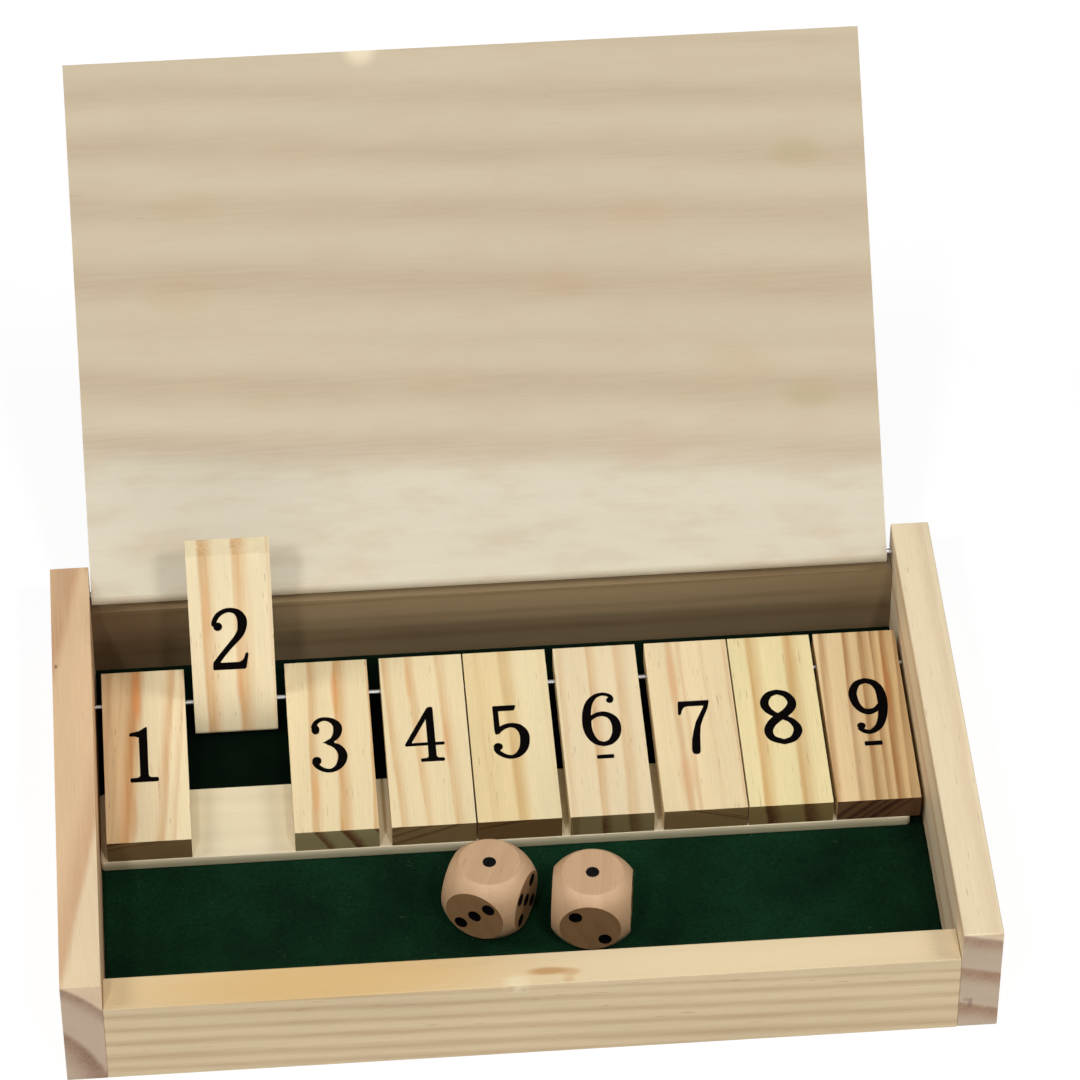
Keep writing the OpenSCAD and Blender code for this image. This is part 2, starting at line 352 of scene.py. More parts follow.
def wall_materials():
    left = wood(
        "pine_left_wall", board_place((-0.1075, 0, 0)),
        ((36.5, 9.0, 0.5), (47.9, 9.0, 0.75), (59.8, 5.0, 0.55), (68.5, 4.0, 0.2)), (20, 76),
        (222, 188, 148), (192, 148, 110), across=(0, -0.116, 0), pith=LEFT_PITH, sharp=1,
        zone=((59.6, 0), (60.2, 1)), zone_tone=(230, 206, 168), end_tone=(0.80, 0.88, 1.10),
        end_ring=(0.62, 0.56, 0.54), end_zone=(1.02, 0.98, 1.04), seed=3.1, wobble=0.7, ragged=0.25,
        spots=(((0.9, 34.5, 31.5), (0.5, 0.9, 1), 0.8, (110, 70, 40)),),
    )
    right = wood(
        "pine_right_wall", board_place((0.0982, 0, 0)),
        ((-4, 8, 0.5), (7.9, 7, 0.6), (19.8, 7, 0.6), (30.4, 6, 0.5), (33.7, 1.2, 0.2)),
        (-12, 40), (234, 215, 180), (196, 153, 112), across=(0.28, 0, 1.0), sharp=1,
        zone=((31.2, 0), (31.8, 1)), zone_tone=(234, 215, 180), end_tone=(0.72, 0.68, 0.74),
        end_ring=(0.72, 0.63, 0.60), end_zone=(0.98, 0.92, 0.94), seed=8.4, wobble=0.7, ragged=0.22,
        spots=(((2.6, -68, 8.0), (0.8, 2, 2.2), 0.45, (116, 90, 80)),
               ((2.0, -68, 9.4), (1.8, 2, 0.8), 0.35, (122, 96, 84))),
    )
    front = wood(
        "pine_front_wall", board_place((0, -0.068, 0), GRAIN_X),
        ((0.6, 3.2, 0.45), (4.5, 4.4, 0.55), (9.4, 3.6, 0.55), (13.9, 3.4, 0.5), (18.4, 3.2, 0.52),
         (22.0, 1.9, 0.42)),
        (-6, 30), (222, 200, 162), (186, 153, 117), across=(0.05, 0.023, 1.0), sharp=0,
        seed=14.2, wobble=0.5, ragged=0.3,
        spots=(
            # the wall's top takes its own tones apart from the front face: at the right a paler one, so the
            # face reads darker than the top, a painted shade; at the left a deeper orange, the wood's own
            # colour
            ((-5.0, 50, 23.9), (14, 76, 1.4), 0.75, (234, 212, 171)),
            ((-5.0, -50, 23.9), (14, 76, 1.4), 0.85, (220, 182, 120)),
            ((-4.0, 3.5, 23.4), (1.6, 6.5, 1.6), 0.85, (186, 140, 86)),
            ((-3.4, 8.5, 23.4), (1.7, 3.2, 1.6), 0.55, (196, 150, 96)),
            ((-1.2, 8.0, 22.8), (1.6, 2.2, 1.6), 0.5, (200, 160, 108)),
            ((-1.2, -3.8, 22.6), (3.0, 4.6, 2.6), 0.85, (233, 216, 178)),
            ((0.2, -5.4, 22.4), (1.2, 1.4, 1.3), 0.35, (186, 150, 108)),
            ((0.2, -2.4, 22.0), (1.2, 1.2, 1.1), 0.3, (190, 156, 114)),
        ),
    )
    # the back wall's pale and dark tones are set low: painted shade on its inner face, down in the box
    # under the lid
    back = wood(
        "pine_back_wall", board_place((0, 0.0604, 0), GRAIN_X),
        # the narrow, strong ring at 22.4 lies on the wall's top and the top of its inner face: a painted
        # shadow line under the lid's edge
        ((3.0, 4.0, 0.4), (9.5, 4.0, 0.45), (16.0, 3.6, 0.4), (22.4, 1.6, 0.6)), (-6, 32),
        (134, 114, 83), (114, 92, 64), across=(0.2, -0.01, 1.0), sharp=0, seed=21.7, wobble=1.0,
        # the first spot is a painted shadow: the inner face darker at its left end, where the left wall and
        # tile 2 shade it
        spots=(((0, -98, 12), (6, 34, 30), 0.7, (88, 64, 40)),
               ((-11.2, 0, 12), (10.2, 2000, 2000), 0.65, (236, 216, 180))),   # plain outside: the outer face is pale, so the low tones above stay only as painted shade on the inner face
    )
    return {"left_side_wall": left, "right_side_wall": right, "front_wall": front, "back_wall": back}


def panel_materials():
    base = wood(
        "base_plywood", board_place((0, 0, 0), GRAIN_X),
        ((-52, 9, 0.4), (-38, 7, 0.3), (-20, 10, 0.45), (-3, 8, 0.35), (14, 9, 0.45), (33, 8, 0.35),
         (50, 10, 0.4)),
        (-66, 66), (232, 210, 170), (205, 172, 126), seed=31.0, wobble=6.0, ragged=0.8, relief=0.3,
    )
    slat_front = 4.0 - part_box("rest_slat")[0].y / MM
    slat = wood(
        "slat_wood", board_place((0, 0.004, 0), GRAIN_X),
        ((-7, 5, 0.10), (-1.5, 5, 0.10), (4.5, 5, 0.08), (9.5, 4, 0.10)), (-16, 16),
        (232, 219, 187), (212, 187, 148), across=(1.0, 0, 0.2), seed=36.0, wobble=1.6,
        fibre=0.03, flecks=0.08,
        end_tone=(0.86, 0.82, 0.74), roughness=0.5,
        # painted shade: a darker tone down the slat's upright front face
        spots=(((slat_front, 0, 3.7), (0.8, 900, 2.8), 0.85, (172, 164, 132)),),
    )
    return {"base_panel": base, "rest_slat": slat}


LID_SPOTS = (                      # (place along the lid, distance from the pivot, size, strength)
    (80, 98.9, 5.0, 0.40, (168, 152, 112)), (80, 39.5, 5.0, 0.40, (168, 152, 112)),
    (-73, 71.4, 6.5, 0.22, (176, 146, 112)), (40, 84.7, 7.0, 0.20, (184, 148, 122)),
    (39, 28.5, 6.0, 0.20, (188, 154, 126)), (20, 69.5, 6.0, 0.20, (182, 150, 122)),
    (-70, 92.5, 6.0, 0.18, (178, 152, 116)), (-10, 47.5, 7.0, 0.18, (184, 158, 130)),
    (62, 47.0, 8.0, 0.18, (182, 156, 126)), (-45, 104.0, 7.0, 0.18, (182, 158, 130)),
)


def lid_material():
    """Local frame of the closed lid, turned so that Y runs along the grain."""
    place = board_place(LID_PIVOT, (Matrix.Rotation(-LID_OPEN, 3, "X")
                                    @ Matrix.Rotation(-QUARTER, 3, "Z")).to_euler())
    # in this frame X is the distance from the pivot towards the front edge
    spots = [((away, along, 0), (size, size * 1.8, 12), strength, tone)
             for along, away, size, strength, tone in LID_SPOTS]
    spots.append(((130, -25.5, 0), (6.5, 5.6, 12), 0.7, (232, 216, 184)))
    return wood(
        "lid_wood", place,
        ((31, 14, 0.62), (46, 16, 0.72), (57, 10, 0.22), (70.5, 18, 0.85), (88.5, 16, 0.7),
         (103, 15, 0.7), (117, 12, 0.65), (130, 6, 0.4)),
        (0, 140), (191, 176, 149), (178, 158, 131), across=(1.0, 0.055, 0.1), sharp=0,
        zone=((20, 1), (44, 0)), zone_tone=(203, 194, 173), seed=44.0, wobble=1.8, ragged=1.2,
        broad=0.03, fibre=0.035, flecks=0.10, mottle=0.5, mottle_tone=(186, 166, 138),
        roughness=0.55, spots=spots, relief=0.10,
    )


# --- tiles ----------------------------------------------------------------------------------------

# growth rings on each tile's seen face: (place across the tile, width, strength), in millimetres
TILE_RINGS = {
    1: ((-8.2, 3.0, 0.35), (-5.6, 2.4, 0.3), (-1.9, 5.0, 1.0), (6.8, 3.6, 0.6), (9.6, 2.0, 0.35)),
    2: ((-6.3, 5.2, 0.85), (1.8, 5.8, 0.9), (9.6, 1.6, 0.3)),
    3: ((-4.3, 3.4, 0.7), (2.2, 4.2, 0.9), (10.0, 3.0, 0.7)),
    4: ((-8.8, 3.0, 0.65), (-3.0, 3.2, 0.6), (4.0, 3.6, 0.6)),
    5: ((-7.2, 3.0, 0.25), (-0.8, 5.2, 0.75), (8.2, 3.0, 0.15)),
    6: ((-8.9, 2.4, 0.35), (-1.8, 3.4, 0.75), (4.8, 4.6, 0.6)),
    7: ((-4.6, 4.4, 0.72), (-1.8, 5.0, 0.5), (3.4, 2.0, 0.2), (9.2, 2.4, 0.45)),
    8: ((-5.4, 5.0, 0.9), (4.0, 5.4, 0.85)),
    9: ((-8.8, 2.8, 0.75), (-2.9, 2.6, 0.75), (1.0, 3.2, 0.8), (3.8, 2.4, 0.7), (6.3, 3.4, 1.0),
        (9.4, 2.4, 0.6)),
}
# how far the rings drift across the tile along its length, millimetres per millimetre
TILE_DRIFT = {1: 0.075, 2: 0.01, 3: 0.02, 4: -0.032, 5: -0.02, 6: 0.012, 7: -0.015, 8: 0.01, 9: 0.03}
# how far the rings lean across the tile's thickness, millimetres per millimetre of depth
TILE_LEAN = {1: -5.5, 2: 0.0, 3: 0.55, 4: -2.6, 5: -4.5, 6: 0.05, 7: 3.2, 8: 0.12, 9: -1.1}
TILE_TONES = {
    1: ((226, 194, 148), (204, 150, 94)), 2: ((248, 232, 194), (224, 182, 130)),
    3: ((238, 218, 174), (210, 162, 104)), 4: ((238, 218, 174), (214, 170, 114)),
    5: ((234, 211, 160), (212, 176, 120)), 6: ((238, 218, 178), (214, 172, 120)),
    7: ((238, 216, 172), (212, 168, 120)), 8: ((236, 219, 167), (208, 167, 107)),
    9: ((226, 194, 142), (172, 124, 74)),
}
# end-grain tones of each tile's ends; for the lying tiles far darker than the grain alone: painted shade on
# their front ends down in the box. Tile 2's, standing up, stays near its face colour
TILE_END_GRAIN_AND_SHADE = {
    1: (0.24, 0.18, 0.11), 2: (1.0, 0.98, 0.94), 3: (0.38, 0.38, 0.29), 4: (0.28, 0.22, 0.14),
    5: (0.20, 0.13, 0.07), 6: (0.30, 0.27, 0.18), 7: (0.26, 0.21, 0.13), 8: (0.29, 0.24, 0.15),
    9: (0.18, 0.12, 0.09),
}
# resin streaks: (centre, radii, strength, tone)
TILE_STREAKS = {
    1: (((-1.7, 0.0, 3.2), (1.5, 11, 3), 0.7, (226, 150, 86)),
        ((-3.6, -38.0, 3.2), (1.8, 10, 3), 0.5, (208, 158, 104))),
    2: (((1.2, -8.0, -3.2), (1.0, 9, 3), 0.5, (232, 170, 112)),
        ((-5.6, -30.0, -3.2), (1.0, 12, 3), 0.4, (232, 176, 120))),
    3: (((1.6, -2.0, 3.2), (1.1, 10, 3), 0.5, (222, 150, 84)),
        ((-4.2, -34.0, 3.2), (0.9, 9, 3), 0.45, (222, 156, 92))),
    4: (((4.6, -20.0, 3.2), (0.9, 10, 3), 0.4, (216, 150, 92)),
        ((-3.4, 0.0, 3.2), (1.0, 8, 3), 0.4, (220, 160, 100))),
    7: (((-4.0, -4.0, 3.2), (1.6, 12, 3), 0.4, (222, 164, 112)),
        ((-3.4, -36.0, 3.2), (2.6, 10, 3), 0.35, (216, 160, 112))),
    9: (((6.2, -10.0, 3.2), (1.0, 14, 3), 0.4, (196, 122, 62)),),
}
END_RING = (0.42, 0.28, 0.30)
PALE_SIDE = {1: ((-0.8, 0), (0.4, 1)), 5: ((0.6, 0), (2.4, 1)), 9: ((-9.0, 1), (-2.0, 1), (1.0, 0))}
PALE_SIDE_TONES = {1: (238, 220, 180), 5: (238, 220, 176), 9: (232, 204, 156)}


def tile_place(number):
    low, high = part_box(f"tile_{number}")
    tilt = RAISED_TILT if number == RAISED else LIE_TILT
    return Vector(((low.x + high.x) / 2, ROD.y, ROD.z)), Euler((tilt, 0, 0))


def tile_material(number):
    pale, dark = TILE_TONES[number]
    face = -TILE_T / 2 if number == RAISED else TILE_T / 2
    lean = TILE_LEAN[number]
    shift = lean * face            # so that the bands are where they are listed on the seen face
    bands = [(centre + shift, width, strength) for centre, width, strength in TILE_RINGS[number]]
    zone = [(at + shift, amount) for at, amount in PALE_SIDE.get(number, ())]
    edge = 13 + abs(lean) * TILE_T + abs(TILE_DRIFT[number]) * TILE_L
    return wood(
        f"pine_tile_{number}", tile_place(number), bands, (-edge, edge), pale, dark,
        across=(1.0, -TILE_DRIFT[number], lean), sharp=1 if number == 1 else -1, zone=zone,
        zone_tone=PALE_SIDE_TONES.get(number, pale), seed=50.0 + 6.3 * number, wobble=0.7,
        ragged=0.4, flecks=0.45, end_tone=TILE_END_GRAIN_AND_SHADE[number],
        end_ring=(0.95, 0.9, 0.85) if number == RAISED else END_RING, roughness=0.48,
        spots=TILE_STREAKS.get(number, ()),
    )


# --- numerals -------------------------------------------------------------------------------------

# each stroke is a list of (x, y, width), in millimetres from the middle of the tile's face
STROKES = {
    2: (((-4.15, 3.6, 0.9), (-4.0, 5.0, 0.95), (-3.0, 6.7, 1.05), (-1.4, 7.7, 1.0), (0.1, 7.8, 1.05),
         (1.5, 7.2, 1.45), (2.4, 5.8, 1.95), (2.65, 4.1, 2.1), (2.3, 1.9, 1.75), (1.3, 0.1, 1.5),
         (-0.6, -2.2, 1.2), (-2.4, -4.5, 1.15), (-3.9, -6.6, 1.2)),),
    3: (((-4.05, 5.6, 0.9), (-3.4, 7.2, 1.0), (-2.3, 8.2, 1.0), (-1.0, 8.4, 0.95), (0.5, 7.8, 1.3),
         (1.6, 6.5, 1.75), (1.85, 4.9, 1.95), (1.45, 3.1, 1.7), (0.5, 1.7, 1.2), (-0.9, 1.0, 0.7)),
        ((-0.9, 0.6, 0.7), (0.4, 0.1, 1.1), (1.6, -0.8, 1.6), (2.45, -2.4, 1.9), (2.6, -4.1, 2.0),
         (2.0, -6.1, 1.75), (0.8, -7.6, 1.25), (-0.7, -8.15, 0.95), (-2.3, -7.7, 1.0),
         (-3.7, -6.4, 1.1), (-4.3, -5.0, 0.95))),
    5: (((-3.35, 9.4, 1.1), (-3.35, 6.0, 1.1), (-3.35, 2.4, 1.1), (-3.35, 0.9, 1.0),
         (-3.3, 0.35, 0.7)),
        ((-3.3, 1.0, 0.9), (-2.3, 2.15, 1.15), (-1.1, 2.85, 1.2), (0.2, 3.05, 1.2), (1.8, 2.4, 1.6),
         (2.9, 0.6, 2.0), (3.08, -1.75, 2.1), (2.6, -4.3, 1.9), (1.4, -6.2, 1.45),
         (-0.2, -7.05, 1.0), (-1.9, -6.7, 1.0), (-3.4, -5.5, 1.1), (-4.15, -4.1, 0.95))),
    6: (((3.0, 9.4, 0.6), (2.7, 10.5, 0.75), (1.7, 11.2, 0.8), (0.4, 11.4, 0.8), (-1.2, 10.7, 1.05),
         (-2.6, 8.8, 1.5), (-3.4, 6.0, 1.85), (-3.65, 3.0, 2.0), (-3.6, 0.4, 1.9),
         (-3.0, -2.0, 1.7), (-1.8, -3.9, 1.35), (-0.1, -4.65, 1.15)),
        ((-0.1, -4.65, 1.15), (1.6, -4.0, 1.4),
         (2.9, -2.1, 1.8), (3.38, 0.3, 1.95), (3.05, 2.7, 1.85), (2.0, 4.3, 1.5),
         (0.4, 5.05, 1.3), (-1.4, 4.7, 1.1), (-2.9, 3.4, 0.9),
         (-3.6, 1.8, 0.9)),),
    8: (((0.2, 8.95, 1.3), (2.3, 8.0, 1.6), (3.5, 5.8, 1.8), (3.1, 3.8, 2.1), (1.6, 2.0, 2.1),
         (-0.3, 0.6, 2.1), (-2.0, -1.1, 2.0), (-3.0, -3.4, 1.9), (-2.3, -5.8, 1.6),
         (0.4, -7.2, 1.35)),
        ((0.2, 8.95, 1.3), (-1.9, 8.1, 1.6), (-3.1, 5.8, 1.85), (-2.7, 3.7, 1.75),
         (-1.3, 2.0, 1.4), (0.7, 0.8, 1.2), (2.7, -0.4, 1.4), (3.9, -2.4, 1.75),
         (3.95, -4.2, 1.9), (2.7, -6.3, 1.6), (0.4, -7.2, 1.35))),
    9: (((0.9, 11.05, 1.35), (-1.2, 10.1, 1.55), (-2.4, 7.6, 1.8), (-2.4, 5.2, 1.8),
         (-1.8, 3.0, 1.6), (-0.6, 1.4, 1.45), (0.9, 0.95, 1.6), (2.5, 1.6, 1.2),
         (3.6, 3.0, 1.0)),
        ((0.9, 11.05, 1.35), (2.8, 10.2, 1.6), (4.0, 8.2, 1.9), (4.42, 5.2, 2.15),
         (4.3, 2.0, 2.1), (3.7, -1.3, 1.9), (2.5, -4.0, 1.6), (0.6, -5.5, 1.15),
         (-1.0, -5.2, 1.05), (-2.2, -4.0, 0.95))),
}
# solid parts of the numerals: stems, serifs, slabs and dashes
SHAPES = {
    1: (((0.3, 9.15), (-0.2, 8.8), (-1.4, 7.9), (-3.6, 7.35), (-3.8, 6.9), (-3.7, 6.3), (-2.4, 6.2),
         (-1.5, 5.8), (-1.45, -6.2), (-1.75, -6.8), (-2.4, -6.98), (-3.6, -7.0), (-3.85, -7.3),
         (-3.85, -8.1), (-3.6, -8.4), (2.7, -8.4), (2.95, -8.1), (2.95, -7.3), (2.7, -7.0),
         (1.5, -6.98), (0.85, -6.8), (0.55, -6.2), (0.55, 8.9)),),
    2: (((-4.7, -6.4), (-4.85, -7.2), (-4.85, -8.5), (-4.6, -8.75), (2.8, -8.75), (3.15, -8.4), (3.8, -4.6),
         (3.55, -4.15), (3.1, -4.3), (2.7, -5.6), (2.2, -6.35), (1.4, -6.75), (-2.8, -6.75),
         (-3.3, -6.1), (-4.2, -6.0)),),
    3: (((-2.05, 0.85), (-0.9, 1.4), (0.3, 1.75), (0.9, 0.8), (0.3, -0.35), (-0.8, 0.3)),),
    4: (((2.0, 10.2), (1.6, 10.45), (0.9, 10.4), (0.45, 10.0), (-5.3, -1.2), (-5.3, -1.85),
         (-4.0, -1.95), (-3.7, -0.95), (0.1, 6.5), (0.6, 7.4)),
        ((0.1, 8.5), (2.0, 10.0), (2.05, -5.3), (2.3, -5.75), (2.8, -5.9), (3.7, -5.95),
         (3.95, -6.2), (3.95, -6.8), (3.7, -7.05), (-1.6, -7.05), (-1.8, -6.8), (-1.8, -6.2),
         (-1.6, -5.95), (-0.7, -5.9), (-0.1, -5.75), (0.1, -5.3)),
        ((-4.4, -0.9), (4.0, -0.9), (4.2, -1.15), (4.2, -1.65), (4.0, -1.9), (-5.1, -1.9))),
    5: (((-3.9, 9.35), (-3.7, 9.5), (1.4, 9.5), (1.6, 9.2), (1.2, 7.95), (0.9, 7.75), (-3.6, 7.75)),),
    6: (((-1.95, -8.0), (1.8, -8.0), (2.0, -8.2), (2.0, -9.05), (1.8, -9.25), (-1.95, -9.25),
         (-2.15, -9.05), (-2.15, -8.2)),),
    7: (((-3.4, 7.6), (3.95, 7.6), (3.95, 7.1), (3.5, 5.1), (2.1, 1.8), (1.3, -0.5), (0.95, -3.0),
         (0.68, -5.9), (0.5, -8.6), (0.2, -9.35), (-0.5, -9.6), (-1.2, -9.35), (-1.5, -8.7),
         (-1.55, -7.6), (-1.2, -4.7), (-0.6, -2.0), (0.2, 0.75), (1.45, 3.45), (2.45, 5.5),
         (2.4, 5.9), (-1.6, 5.9), (-2.3, 5.5), (-2.8, 4.6), (-3.1, 3.5), (-3.45, 3.15),
         (-3.85, 3.45), (-3.55, 7.4)),),
    9: (((-1.25, -8.5), (2.65, -8.5), (2.85, -8.7), (2.85, -9.7), (2.65, -9.9), (-1.25, -9.9),
         (-1.45, -9.7), (-1.45, -8.7)),),
}
# round ends of the strokes: (x, y, x radius, y radius)
BALLS = {
    2: ((-3.25, 3.4, 1.08, 1.2),),
    3: ((-3.5, 5.1, 0.98, 1.5), (-3.65, -4.85, 1.12, 1.3)),
    5: ((-3.5, -3.6, 1.12, 1.2),),
    6: ((2.42, 9.35, 0.85, 0.95), (-0.1, -4.65, 0.7, 0.7)),
    8: ((0.2, 8.95, 0.77, 0.77), (0.4, -7.2, 0.8, 0.8)),
    9: ((-1.58, -3.45, 1.05, 1.05), (0.9, 11.05, 0.8, 0.8)),
}
STROKE_STEPS = 7
BOLD = 0.25                        # added to every stroke's width
BALL_STEPS = 28
INK_PROUD = 0.03
INK_SUNK = 0.06
STRETCH = {2: (1.082, 2.2)}        # a numeral drawn taller, and moved up, in millimetres


def curve_through(points, steps):
    """Catmull-Rom samples through the points of a stroke."""
    padded = [points[0], *points, points[-1]]
    samples = []
    for a, b, c, d in zip(padded, padded[1:], padded[2:], padded[3:]):
        for step in range(steps):
            t = step / steps
            samples.append([
                0.5 * (2 * q + (r - p) * t + (2 * p - 5 * q + 4 * r - s) * t * t
                       + (3 * q - p - 3 * r + s) * t ** 3)
                for p, q, r, s in zip(a, b, c, d)
            ])
    return samples + [list(points[-1])]


def stroke_outline(points):
    samples = curve_through(points, STROKE_STEPS)
    left, right = [], []
    for i, (x, y, width) in enumerate(samples):
        before, after = samples[max(i - 1, 0)], samples[min(i + 1, len(samples) - 1)]
        dx, dy = after[0] - before[0], after[1] - before[1]
        length = math.hypot(dx, dy) or 1
        nx, ny = -dy / length * (width + BOLD) / 2, dx / length * (width + BOLD) / 2
        left.append((x + nx, y + ny))
        right.append((x - nx, y - ny))
    return right + left[::-1]


def ball_outline(x, y, rx, ry):
    angles = [2 * math.pi * i / BALL_STEPS for i in range(BALL_STEPS)]
    return [(x + rx * math.cos(a), y + ry * math.sin(a)) for a in angles]


def numeral_triangles(digit):
    """The numeral as one flat patch: the union of its strokes, shapes and balls."""
    outlines = [stroke_outline(points) for points in STROKES.get(digit, ())]
    outlines += [list(shape) for shape in SHAPES.get(digit, ())]
    outlines += [ball_outline(*ball) for ball in BALLS.get(digit, ())]
    taller, up = STRETCH.get(digit, (1, 0))
    outlines = [[(x, y * taller + up) for x, y in outline] for outline in outlines]
    points, faces = [], []
    for outline in outlines:
        area = sum(a[0] * b[1] - b[0] * a[1] for a, b in zip(outline, outline[1:] + outline[:1]))
        if area < 0:
            outline = outline[::-1]
        faces.append(list(range(len(points), len(points) + len(outline))))
        points += [Vector(p) for p in outline]
    out_points, _, out_faces, _, _, origins = delaunay_2d_cdt(points, [], faces, 1, 1e-4)
    kept = [list(face) for face, origin in zip(out_faces, origins) if len(origin)]
    return out_points, kept


def numeral_solid(digit, mirrored):
    """Vertices and faces of a thin ink solid; z is up from the tile's face, in millimetres."""
    points, triangles = numeral_triangles(digit)
    count = len(points)
    vertices = [(p[0], p[1], INK_PROUD) for p in points] + [(p[0], p[1], -INK_SUNK) for p in points]
    faces = [tuple(t) for t in triangles] + [tuple(v + count for v in reversed(t)) for t in triangles]
    directed = {(t[i], t[(i + 1) % len(t)]) for t in triangles for i in range(len(t))}
    for a, b in sorted(directed):
        if (b, a) not in directed:
            faces.append((a, a + count, b + count, b))
    if mirrored:
        vertices = [(x, -y, -z) for x, y, z in vertices]
    return vertices, faces


def ink_material():
    material, tree, shader = new_material("numeral_ink", 0.7, 0.0)
    local, _ = board_space(tree, board_place())
    worn = blur_noise(tree, local, (2.2, 2.2, 2.2), 3.0, 0.6)
    colour = blend(tree, remap(tree, worn, 0.35, 0.8), linear(10, 8, 9), linear(18, 14, 13))
    feed(tree, shader.inputs["Base Color"], colour)
    feed(tree, shader.inputs["Roughness"], remap(tree, worn, 0.3, 0.7, 0.55, 0.7))
    bump(tree, shader, worn, 0.2, 0.05)
    return material


def add_numerals(number, ink):
    """The tile's number on its upper and lower face; the lower one stands the other way up."""
    origin, turn = tile_place(number)
    middle_y = TILE_TAIL - TILE_L / 2
    vertices, faces = [], []
    for mirrored in (False, True):
        part, part_faces = numeral_solid(number, mirrored)
        side = -1 if mirrored else 1
        start = len(vertices)
        for x, y, z in part:
            local = Vector((x, middle_y + y, side * TILE_T / 2 + z)) * MM
            vertices.append(turn.to_matrix() @ local + origin)
        faces += [tuple(v + start for v in face) for face in part_faces]
    obj = add_mesh(f"numeral_{number}", vertices, faces, ink)
    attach(obj, f"tile_{number}")


# --- felt -----------------------------------------------------------------------------------------

def felt_material():
    material, tree, shader = new_material("green_felt", 0.98, 0.04)
    local, _ = board_space(tree, board_place())
    cloud = blur_noise(tree, local, (0.05, 0.05, 0.05), 4.0, 0.6)
    nap = blur_noise(tree, local, (1.1, 1.1, 1.1), 4.0, 0.7, shift=9, distortion=0.6)
    lint = blur_noise(tree, local, (0.7, 0.7, 0.7), 2.0, shift=23, distortion=1.5)
    deep, pile = linear(8, 27, 15), linear(15, 46, 27)
    colour = blend(tree, remap(tree, cloud, 0.3, 0.7), deep, pile)
    colour = blend(tree, 1.0, colour, grey(tree, remap(tree, nap, 0.3, 0.7, 0.6, 1.4)), "MULTIPLY")
    colour = blend(tree, calc(tree, "MULTIPLY", remap(tree, lint, 0.72, 0.8), 0.35), colour,
                   linear(120, 140, 112))
    # painted shade: the felt darker behind the slat, under the row of tiles, where shade falls
    behind = tree.nodes.new("ShaderNodeSeparateXYZ")
    feed(tree, behind.inputs[0], local)
    painted_shade_behind_slat = remap(tree, behind.outputs["Y"], -4.0, 8.0, 1.0, 0.2)
    colour = blend(tree, 1.0, colour, grey(tree, painted_shade_behind_slat), "MULTIPLY")
    feed(tree, shader.inputs["Base Color"], colour)
    shader.inputs["Sheen Weight"].default_value = 0.06
    shader.inputs["Sheen Roughness"].default_value = 0.6
    shader.inputs["Sheen Tint"].default_value = linear(60, 110, 72)
    bump(tree, shader, nap, 0.7, 0.35)
    return material


FELT_STEP = 1.4
FELT_DIP = 0.14
FELT_FRAY = 0.16


def frayed(side, along, key):
    """How far a cut edge of the felt wanders inwards, in millimetres."""
    return side * FELT_FRAY * (noise.noise(Vector((along * 0.3, *key))) + 1) / 2


def add_felt(material):
    """A laid sheet of felt: soft uneven face, straight cut sides, all inside its CAD solid."""
    low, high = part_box("felt_lining")
    low, high = low / MM, high / MM
    columns = round((high.x - low.x) / FELT_STEP)
    rows = round((high.y - low.y) / FELT_STEP)
    vertices, faces = [], []
    for level in (0, 1):
        for j in range(rows + 1):
            for i in range(columns + 1):
                x = low.x + (high.x - low.x) * i / columns
                y = low.y + (high.y - low.y) * j / rows
                if i in (0, columns):
                    x += frayed(1 if i == 0 else -1, y, (4, i))
                if j in (0, rows):
                    y += frayed(1 if j == 0 else -1, x, (9, j))
                dip = FELT_DIP * (noise.noise(Vector((x, y, 0)) * 0.35) + 1) / 2
                z = high.z - dip if level else low.z
                vertices.append((x * MM, y * MM, z * MM))
    width = columns + 1
    layer = width * (rows + 1)
    for j in range(rows):
        for i in range(columns):
            a = j * width + i
            faces.append((a, a + width, a + width + 1, a + 1))
            faces.append(tuple(v + layer for v in (a, a + 1, a + width + 1, a + width)))
    rim = list(range(columns)) + [j * width + columns for j in range(rows)]
    rim += [rows * width + i for i in range(columns, 0, -1)] + [j * width for j in range(rows, 0, -1)]
    for a, b in zip(rim, rim[1:] + rim[:1]):
        faces.append((a, b, b + layer, a + layer))
    obj = add_mesh("felt_sheet", vertices, faces, material, smooth=True)
    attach(obj, "box")
    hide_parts("felt_lining")


# --- dice -----------------------------------------------------------------------------------------

def die_centre(name):
    low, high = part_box(name)
    return (low + high) / 2


def die_material(name, seed):
    turn = DIE_TURNS[name] + DIE_GRAIN[name]
    return wood(
        f"beech_{name}", board_place(die_centre(name), (0, 0, turn)),
        ((-8, 4, 0.2), (-3, 4, 0.25), (2, 4.5, 0.2), (7, 4, 0.25)), (-15, 15),
        (196, 160, 124), (176, 138, 101), across=(1.0, 0, 0.5), seed=seed, wobble=1.2,
        # end_tone darkens all four upright flats: end grain on the two facing along the grain, and painted
        # shade on all four, for the dim light upright flats get in the box
        ragged=0.5, fibre=0.08, flecks=0.5, end_tone=(0.50, 0.44, 0.33), end_ring=(0.9, 0.85, 0.8),
        end_axes=((0, 1, 0), (1, 0, 0)), end_edge=(0.93, 0.985), roughness=0.42,
        relief=0.12,
    )


def pip_spots(count):
    spots = []
    for x in (-1, 0, 1):
        for y in (-1, 0, 1):
            middle = x == 0 and y == 0
            rising, falling = x == y and not middle, x == -y and not middle
            beside = y == 0 and not middle
            if ((middle and count % 2 == 1) or (falling and count not in (1, 3))
                    or (rising and count > 2) or (beside and count == 6)):
                spots.append((x * PIP_PITCH, y * PIP_PITCH))
    return spots


